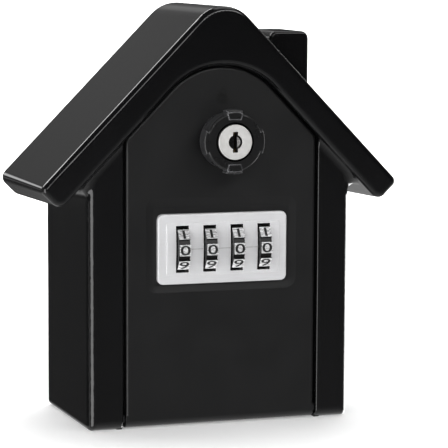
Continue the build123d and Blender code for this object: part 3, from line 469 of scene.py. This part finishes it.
SLOT_COLOUR = {entry["slot"]: tuple(entry["base_color"][:3]) for entry in RECORD["materials"]}
SLOT_COLOUR.update(             # set for this studio's light
    shell_gloss=(0.0022, 0.0022, 0.0024),
    door_satin=(0.0034, 0.0034, 0.0036),
    knob_gloss=(0.004, 0.004, 0.0042),
    bush_black=(0.006, 0.006, 0.006),
    cylinder_nickel=(0.46, 0.455, 0.445),
    dial_silver=(0.57, 0.57, 0.58),
    seal_rubber=(0.012, 0.012, 0.012),
)
FINISHES = {
    "shell_gloss": lambda c: gloss_black("shell_gloss", c, 0.085),
    "door_satin": lambda c: satin_black("door_satin", c, 0.46),
    "knob_gloss": lambda c: knob_black("knob_gloss", c, KNOB_AXIS, COLLAR_RADIUS),
    "bush_black": lambda c: satin_black("bush_black", c, 0.4),
    "dial_silver": lambda c: dial_silver("dial_silver", c, middle("dial_plate"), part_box("dial_plate")[0].y),
    "wheel_chrome": lambda c: wheel_chrome("wheel_chrome", c, DIAL_AXIS, WHEEL_FLAT),
    "cylinder_nickel": lambda c: turned_nickel("cylinder_nickel", c, KNOB_AXIS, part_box("key_plug")[0].y),
    "wafer_brass": lambda c: satin_metal("wafer_brass", c, 0.3, 1.0),
    "plated_steel": lambda c: zinc_plate("plated_steel", c),
    "compartment_steel": lambda c: enamel("compartment_steel", c),
    "screw_steel": lambda c: satin_metal("screw_steel", c, 0.26, 1.0),
    "black_oxide": lambda c: satin_metal("black_oxide", c, 0.5, 0.6),
    "spring_steel": lambda c: satin_metal("spring_steel", c, 0.3, 1.0, grain=(1.0, 1.0, 0.05)),
    "seal_rubber": lambda c: rubber("seal_rubber", c),
    "reset_red": lambda c: satin_black("reset_red", c, 0.4),
}
MATERIALS = {slot: FINISHES[slot](colour) for slot, colour in SLOT_COLOUR.items()}


def wear(piece, material):
    """Give an object one material, whatever slots it came with."""
    if not piece.material_slots:
        piece.data.materials.append(material)
    for place in piece.material_slots:
        place.material = material


for part in RECORD["subparts"]:
    wear(NODES[part["node"]], MATERIALS[part["material_slot"]])
wear(NODES["keyway_shutter"], shutter("shutter_flaps", SLOT_COLOUR["cylinder_nickel"], KNOB_AXIS))


# ---------------------------------------------------------------- pieces that only the looks need
def text_mesh(words, size, thick, widen):
    """Mesh of a short text, centred, facing +Z and stretched in X by widen."""
    curve = bpy.data.curves.new("text", "FONT")
    curve.body = words
    curve.size = size
    curve.extrude = thick / 2
    curve.offset = size * 0.01
    curve.resolution_u = 8
    curve.align_x = "CENTER"
    curve.align_y = "CENTER"
    holder = bpy.data.objects.new("text", curve)
    bpy.context.scene.collection.objects.link(holder)
    bpy.context.view_layer.update()
    mesh = bpy.data.meshes.new_from_object(holder.evaluated_get(bpy.context.evaluated_depsgraph_get()))
    bpy.data.objects.remove(holder)
    bpy.data.curves.remove(curve)
    xs = [v.co.x for v in mesh.vertices]
    ys = [v.co.y for v in mesh.vertices]
    centre = Vector(((min(xs) + max(xs)) / 2, (min(ys) + max(ys)) / 2, 0))
    mesh.transform(Matrix.Diagonal((widen, 1, 1, 1)) @ Matrix.Translation(-centre))
    return mesh


def joined(name, meshes):
    """One object from several meshes, with doubles welded."""
    whole = bmesh.new()
    for mesh in meshes:
        whole.from_mesh(mesh)
        bpy.data.meshes.remove(mesh)
    bmesh.ops.remove_doubles(whole, verts=whole.verts, dist=1e-7)
    data = bpy.data.meshes.new(name)
    whole.to_mesh(data)
    whole.free()
    piece = bpy.data.objects.new(name, data)
    bpy.context.scene.collection.objects.link(piece)
    return piece


DIGIT_SIZE = 4.9 * MM           # the font's size, not a figure's height
DIGIT_WIDEN = 1.65
DIGIT_THICK = 0.05 * MM


def wheel_numbers(body, node):
    """Ten black-filled numbers on a wheel's pads: 0 in front, counting upwards."""
    x = middle(node).x
    digits = []
    for k in range(FACETS):
        mesh = text_mesh(str(k), DIGIT_SIZE, DIGIT_THICK, DIGIT_WIDEN)
        stand = Matrix.Translation((0, 0, WHEEL_FLAT))
        face_front = Matrix.Rotation(radians(90), 4, "X")
        turn = Matrix.Rotation(radians(-360 / FACETS * k), 4, "X")
        place = Matrix.Translation((x, DIAL_AXIS.y, DIAL_AXIS.z))
        mesh.transform(place @ turn @ face_front @ stand)
        digits.append(mesh)
    piece = joined(f"wheel_numbers_{body[-1]}", digits)
    wear(piece, NUMBER_INK)
    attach(piece, body)


NUMBER_INK = ink("number_ink", (0.004, 0.004, 0.004), 0.6)
for dial in DIAL_NAMES:
    wheel_numbers(dial, f"dial_wheel_{dial[-1]}")


def flat_piece(name, outlines, front, thick, holes=()):
    """Thin filled piece in the X-Z plane: outlines are closed loops of points, pushed back by thick."""
    curve = bpy.data.curves.new(name, "CURVE")
    curve.dimensions = "2D"
    curve.fill_mode = "BOTH"
    curve.extrude = thick / 2
    for outline in (*outlines, *holes):
        line = curve.splines.new("POLY")
        line.points.add(len(outline) - 1)
        for point, (x, z) in zip(line.points, outline):
            point.co = (x, z, 0, 1)
        line.use_cyclic_u = True
    holder = bpy.data.objects.new(name, curve)
    bpy.context.scene.collection.objects.link(holder)
    bpy.context.view_layer.update()
    mesh = bpy.data.meshes.new_from_object(holder.evaluated_get(bpy.context.evaluated_depsgraph_get()))
    bpy.data.objects.remove(holder)
    bpy.data.curves.remove(curve)
    mesh.transform(Matrix.Translation((0, front + thick / 2, 0)) @ Matrix.Rotation(radians(90), 4, "X"))
    return joined(name, [mesh])


def arc(centre, radius, start, end, steps=16):
    """Points on an arc, angles in degrees."""
    points = []
    for k in range(steps + 1):
        a = radians(start + (end - start) * k / steps)
        points.append((centre[0] + radius * cos(a), centre[1] + radius * sin(a)))
    return points


def padlock(x, z, size):
    """Outlines of a plain padlock sign: a round-cornered body with a keyhole, and a shackle."""
    half, tall, corner = size * 0.5, size * 0.8, size * 0.14
    body = []
    for side_x, side_z, start in ((1, 0, 270), (1, 1, 0), (-1, 1, 90), (-1, 0, 180)):
        centre = (x + side_x * (half - corner), z + (tall - corner if side_z else corner))
        body += arc(centre, corner, start, start + 90, 5)
    keyhole = arc((x, z + tall * 0.5), size * 0.12, 0, 345, 14)
    foot = z + tall + size * 0.04
    outer, inner, spring = size * 0.34, size * 0.2, foot + size * 0.14
    shackle = [(x + outer, foot)] + arc((x, spring), outer, 0, 180) + [(x - outer, foot), (x - inner, foot)]
    shackle += arc((x, spring), inner, 180, 0) + [(x + inner, foot)]
    return [body, shackle], [keyhole]


MARK_THICK = 0.02 * MM
LOCK_MARK_SIZE = 4.2 * MM
LOCK_MARK_RISE = 13.2 * MM      # from the knob's axis to the foot of the sign
INDEX_HALF_TALL = 0.09 * MM
INDEX_REACH = 2.9 * MM          # from the middle of a line to its end


def lock_mark():
    """Pad-printed padlock sign over the knob's pointer, gloss black on the satin door."""
    outlines, holes = padlock(KNOB_AXIS.x, KNOB_AXIS.z + LOCK_MARK_RISE, LOCK_MARK_SIZE)
    piece = flat_piece("lock_mark", outlines, DOOR_FACE - MARK_THICK, 2 * MARK_THICK, holes)
    wear(piece, ink("mark_ink", (0.003, 0.003, 0.003), 0.34))
    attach(piece, "door")


def index_marks():
    """Index lines on the plate between the wheels, level with the number in use."""
    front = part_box("dial_plate")[0].y
    end = INDEX_REACH - INDEX_HALF_TALL
    pitch = middle("dial_wheel_2").x - middle("dial_wheel_1").x
    lines = []
    for k in range(len(DIAL_NAMES) - 1):
        x = middle(f"dial_wheel_{k + 1}").x + pitch / 2
        right = arc((x + end, DIAL_AXIS.z), INDEX_HALF_TALL, -90, 90, 4)
        left = arc((x - end, DIAL_AXIS.z), INDEX_HALF_TALL, 90, 270, 4)
        lines.append(right + left)
    piece = flat_piece("index_marks", lines, front - MARK_THICK / 2, MARK_THICK)
    wear(piece, ink("index_grey", (0.16, 0.16, 0.16)))
    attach(piece, "door")


lock_mark()
index_marks()


# ---------------------------------------------------------------- floor, lights and camera
FLOOR_HALF, FLOOR_NEAR = 4.0, -3.0
BEND_START, BEND_RADIUS, BEND_STEPS, WALL_TOP = 2.2, 1.0, 16, 3.2
GLOW_NEAR, GLOW_NEAR_AT = 0.2, 0.12     # close to the object the floor glows little, so a shadow shows
GLOW_FAR, GLOW_FAR_AT = 1.0, 0.4        # from this distance on it glows fully


def sweep_profile():
    """Side view of the studio sweep: flat floor, round bend and upright wall."""
    points = [(FLOOR_NEAR, 0.0), (BEND_START, 0.0)]
    for k in range(1, BEND_STEPS + 1):
        a = pi / 2 * k / BEND_STEPS
        points.append((BEND_START + BEND_RADIUS * sin(a), BEND_RADIUS * (1 - cos(a))))
    points.append((BEND_START + BEND_RADIUS, WALL_TOP))
    return points


def studio_sweep():
    """Pale floor that bends up behind the object."""
    sheet = bmesh.new()
    rows = []
    for y, z in sweep_profile():
        rows.append([sheet.verts.new((x, y, z)) for x in (-FLOOR_HALF, FLOOR_HALF)])
    for near, far in zip(rows, rows[1:]):
        sheet.faces.new((near[0], near[1], far[1], far[0]))
    data = bpy.data.meshes.new("studio_sweep")
    sheet.to_mesh(data)
    sheet.free()
    for face in data.polygons:
        face.use_smooth = True
    floor = bpy.data.objects.new("studio_sweep", data)
    bpy.context.scene.collection.objects.link(floor)
    paint = Paint("pale_floor", (0.9, 0.9, 0.9), 0.6)
    clouds = paint.span(paint.noise(0.5, 3), 0.3, 0.7, 0, 1)
    paint.colour_from(paint.blend(clouds, (0.89, 0.89, 0.89), (0.91, 0.91, 0.91)))
    paint.shader.inputs["Specular IOR Level"].default_value = 0.2
    paint.shader.inputs["Emission Color"].default_value = (1, 1, 1, 1)
    glow = paint.span(paint.distance(paint.place), GLOW_NEAR_AT, GLOW_FAR_AT, GLOW_NEAR, GLOW_FAR)
    paint.link(glow, paint.shader.inputs["Emission Strength"])
    wear(floor, paint.done())
    floor.visible_glossy = False


studio_sweep()


def area_light(name, direction, distance, width, height, power):
    """Soft box in a direction from the object's middle, facing it. Gloss doesn't reflect it."""
    data = bpy.data.lights.new(name, "AREA")
    data.shape = "RECTANGLE"
    data.size, data.size_y = width, height
    data.energy = power
    lamp = bpy.data.objects.new(name, data)
    bpy.context.scene.collection.objects.link(lamp)
    aim = (cad_box[0] + cad_box[1]) / 2
    lamp.location = aim + Vector(direction).normalized() * distance
    lamp.rotation_mode = "QUATERNION"
    lamp.rotation_quaternion = (lamp.location - aim).to_track_quat("Z", "Y")
    lamp.visible_glossy = False


area_light("overhead", (0.1, 0.3, 1.0), 2.0, 1.3, 1.1, 27.0)
area_light("front_fill", (-0.35, -1.0, 0.1), 1.6, 0.9, 0.3, 12.5)
area_light("left_fill", (-1.0, -0.4, 0.3), 1.4, 0.7, 0.7, 8.0)

CLIMB_LEAN = -0.33              # weight of x in climb, so that a slanted strip rises to the right


class Room:
    """Node builder for the room that the gloss reflects: glow by height, plus soft strips."""

    def __init__(self):
        world = bpy.data.worlds.new("room")
        bpy.context.scene.world = world
        world.use_nodes = True
        self.tree = world.node_tree
        self.back = self.tree.nodes["Background"]
        parts = self.tree.nodes.new("ShaderNodeSeparateXYZ")
        direction = self.tree.nodes.new("ShaderNodeTexCoord").outputs["Generated"]
        self.tree.links.new(direction, parts.inputs["Vector"])
        self.x, self.y, self.z = parts.outputs
        lean = self.tree.nodes.new("ShaderNodeMath")
        lean.operation = "MULTIPLY_ADD"
        self.tree.links.new(self.x, lean.inputs[0])
        lean.inputs[1].default_value = CLIMB_LEAN
        self.tree.links.new(self.z, lean.inputs[2])
        self.climb = lean.outputs["Value"]

    def glow_by_height(self, stops):
        """Brightness that depends on the height of the direction, from -1 below to 1 above."""
        height = self.tree.nodes.new("ShaderNodeMapRange")
        height.inputs["From Min"].default_value = -1.0
        self.tree.links.new(self.z, height.inputs["Value"])
        table = self.tree.nodes.new("ShaderNodeValToRGB")
        self.tree.links.new(height.outputs["Result"], table.inputs["Fac"])
        table.color_ramp.interpolation = "EASE"
        while len(table.color_ramp.elements) < len(stops):
            table.color_ramp.elements.new(0.5)
        for element, (level, glow) in zip(table.color_ramp.elements, stops):
            element.position = (level + 1) / 2
            element.color = (glow, glow, glow, 1)
        return table.outputs["Color"]

    def step(self, value, start, end, high=1.0):
        """Smooth rise from 0 at start to high at end; start above end makes it a fall."""
        rise = self.tree.nodes.new("ShaderNodeMapRange")
        rise.interpolation_type = "SMOOTHSTEP"
        rise.inputs["From Min"].default_value = min(start, end)
        rise.inputs["From Max"].default_value = max(start, end)
        rise.inputs["To Min"].default_value = 0.0 if start < end else high
        rise.inputs["To Max"].default_value = high if start < end else 0.0
        self.tree.links.new(value, rise.inputs["Value"])
        return rise.outputs["Result"]

    def chain(self, operation, values):
        """One arithmetic operation over any number of values."""
        result = values[0]
        for value in values[1:]:
            calc = self.tree.nodes.new("ShaderNodeMath")
            calc.operation = operation
            self.tree.links.new(result, calc.inputs[0])
            self.tree.links.new(value, calc.inputs[1])
            result = calc.outputs["Value"]
        return result

    def product(self, *values):
        return self.chain("MULTIPLY", values)

    def total(self, *values):
        return self.chain("ADD", values)

    def strip(self, glow, x=None, y=None, z=None, slant=None, soft=0.04):
        """Soft-edged box of light within ranges of direction; slant is a range of z + CLIMB_LEAN * x."""
        factors = []
        for value, span in ((self.x, x), (self.y, y), (self.z, z), (self.climb, slant)):
            if span:
                peak = 1.0 if factors else glow
                factors.append(self.step(value, span[0] - soft, span[0] + soft, peak))
                factors.append(self.step(value, span[1] + soft, span[1] - soft))
        return self.product(*factors)


def room_light():
    """Dark at eye level and pale towards the floor, with strips of light that draw the edges.

    Ranges are parts of a unit direction: x to the object's right, y to its back, z up.
    """
    room = Room()
    behind = room.glow_by_height((
        (-1.0, 0.9), (-0.6, 0.8), (-0.42, 0.62), (-0.33, 0.45), (-0.26, 0.12), (-0.20, 0.05),
        (-0.10, 0.05), (-0.075, 0.3), (-0.05, 0.26), (-0.025, 0.015), (0.05, 0.03), (0.14, 0.12),
        (0.33, 0.21), (0.45, 0.15), (0.62, 0.04), (1.0, 0.05)))
    ahead = room.glow_by_height((
        (-1.0, 0.7), (-0.5, 0.34), (-0.24, 0.2), (-0.16, 0.15), (-0.10, 0.115), (-0.05, 0.06),
        (-0.01, 0.03), (0.2, 0.02), (1.0, 0.04)))
    glow = room.total(
        room.product(behind, room.step(room.y, -0.3, 0.3)),
        room.product(ahead, room.step(room.y, 0.3, -0.3)),
        # behind, high
        room.strip(6.5, x=(-0.7, 0.1), y=(0.3, 1.1), z=(0.44, 0.62), soft=0.03),
        # in front, high and slanted
        room.strip(5.5, x=(-0.35, 0.75), y=(-1.1, -0.35), slant=(0.34, 0.48), soft=0.03),
        # behind, low on the left
        room.strip(1.6, x=(-0.36, -0.18), y=(0.5, 1.1), z=(0.06, 0.18), soft=0.03),
        # behind, faint on the right
        room.strip(0.15, x=(0.08, 0.22), y=(0.5, 1.1), z=(0.22, 0.36)),
        # left, in front
        room.strip(3.8, x=(-1.1, -0.55), y=(-0.72, -0.28), z=(-0.6, 0.3), soft=0.06),
        # left, narrow
        room.strip(1.2, x=(-1.1, -0.6), y=(0.06, 0.17), z=(-0.6, 0.3), soft=0.02),
        # right, behind
        room.strip(6.0, x=(0.5, 1.1), y=(0.05, 0.8), z=(-0.6, 0.2)),
        # overhead, on the right
        room.strip(1.5, x=(0.0, 0.8), y=(-0.3, 0.6), z=(0.8, 1.1)),
    )
    room.tree.links.new(glow, room.back.inputs["Color"])
    room.back.inputs["Strength"].default_value = 1.0


room_light()

# The camera stands at the object's left, a little above it, as fitted to the photograph.
CAMERA_AZIMUTH, CAMERA_ELEVATION, CAMERA_ROLL = 19.411, 6.597, 0.297    # degrees
# metres from the door's face, on the centre line and the base
CAMERA_FROM_FACE = Vector((-0.24283, -0.70696, 0.15675))
SENSOR, LENS = 36.0, 166.9      # millimetres
SHIFT_X, SHIFT_Y = -0.0320, 0.0208


def camera():
    """Long-lens camera with a slight roll."""
    data = bpy.data.cameras.new("camera")
    data.sensor_width = SENSOR
    data.lens = LENS
    data.shift_x, data.shift_y = SHIFT_X, SHIFT_Y
    data.clip_start, data.clip_end = 0.05, 50.0
    eye = bpy.data.objects.new("camera", data)
    bpy.context.scene.collection.objects.link(eye)
    az, el, roll = (radians(v) for v in (CAMERA_AZIMUTH, CAMERA_ELEVATION, CAMERA_ROLL))
    ahead = Vector((sin(az) * cos(el), cos(az) * cos(el), -sin(el)))
    right = ahead.cross(Vector((0, 0, 1))).normalized()
    up = right.cross(ahead)
    right_rolled = right * cos(roll) + up * sin(roll)
    up_rolled = up * cos(roll) - right * sin(roll)
    turn = Matrix((right_rolled, up_rolled, -ahead)).transposed()
    eye.matrix_world = Matrix.Translation(CAMERA_FROM_FACE + Vector((0, DOOR_FACE, 0))) @ turn.to_4x4()
    bpy.context.scene.camera = eye


camera()
bpy.context.scene.view_settings.view_transform = "Standard"
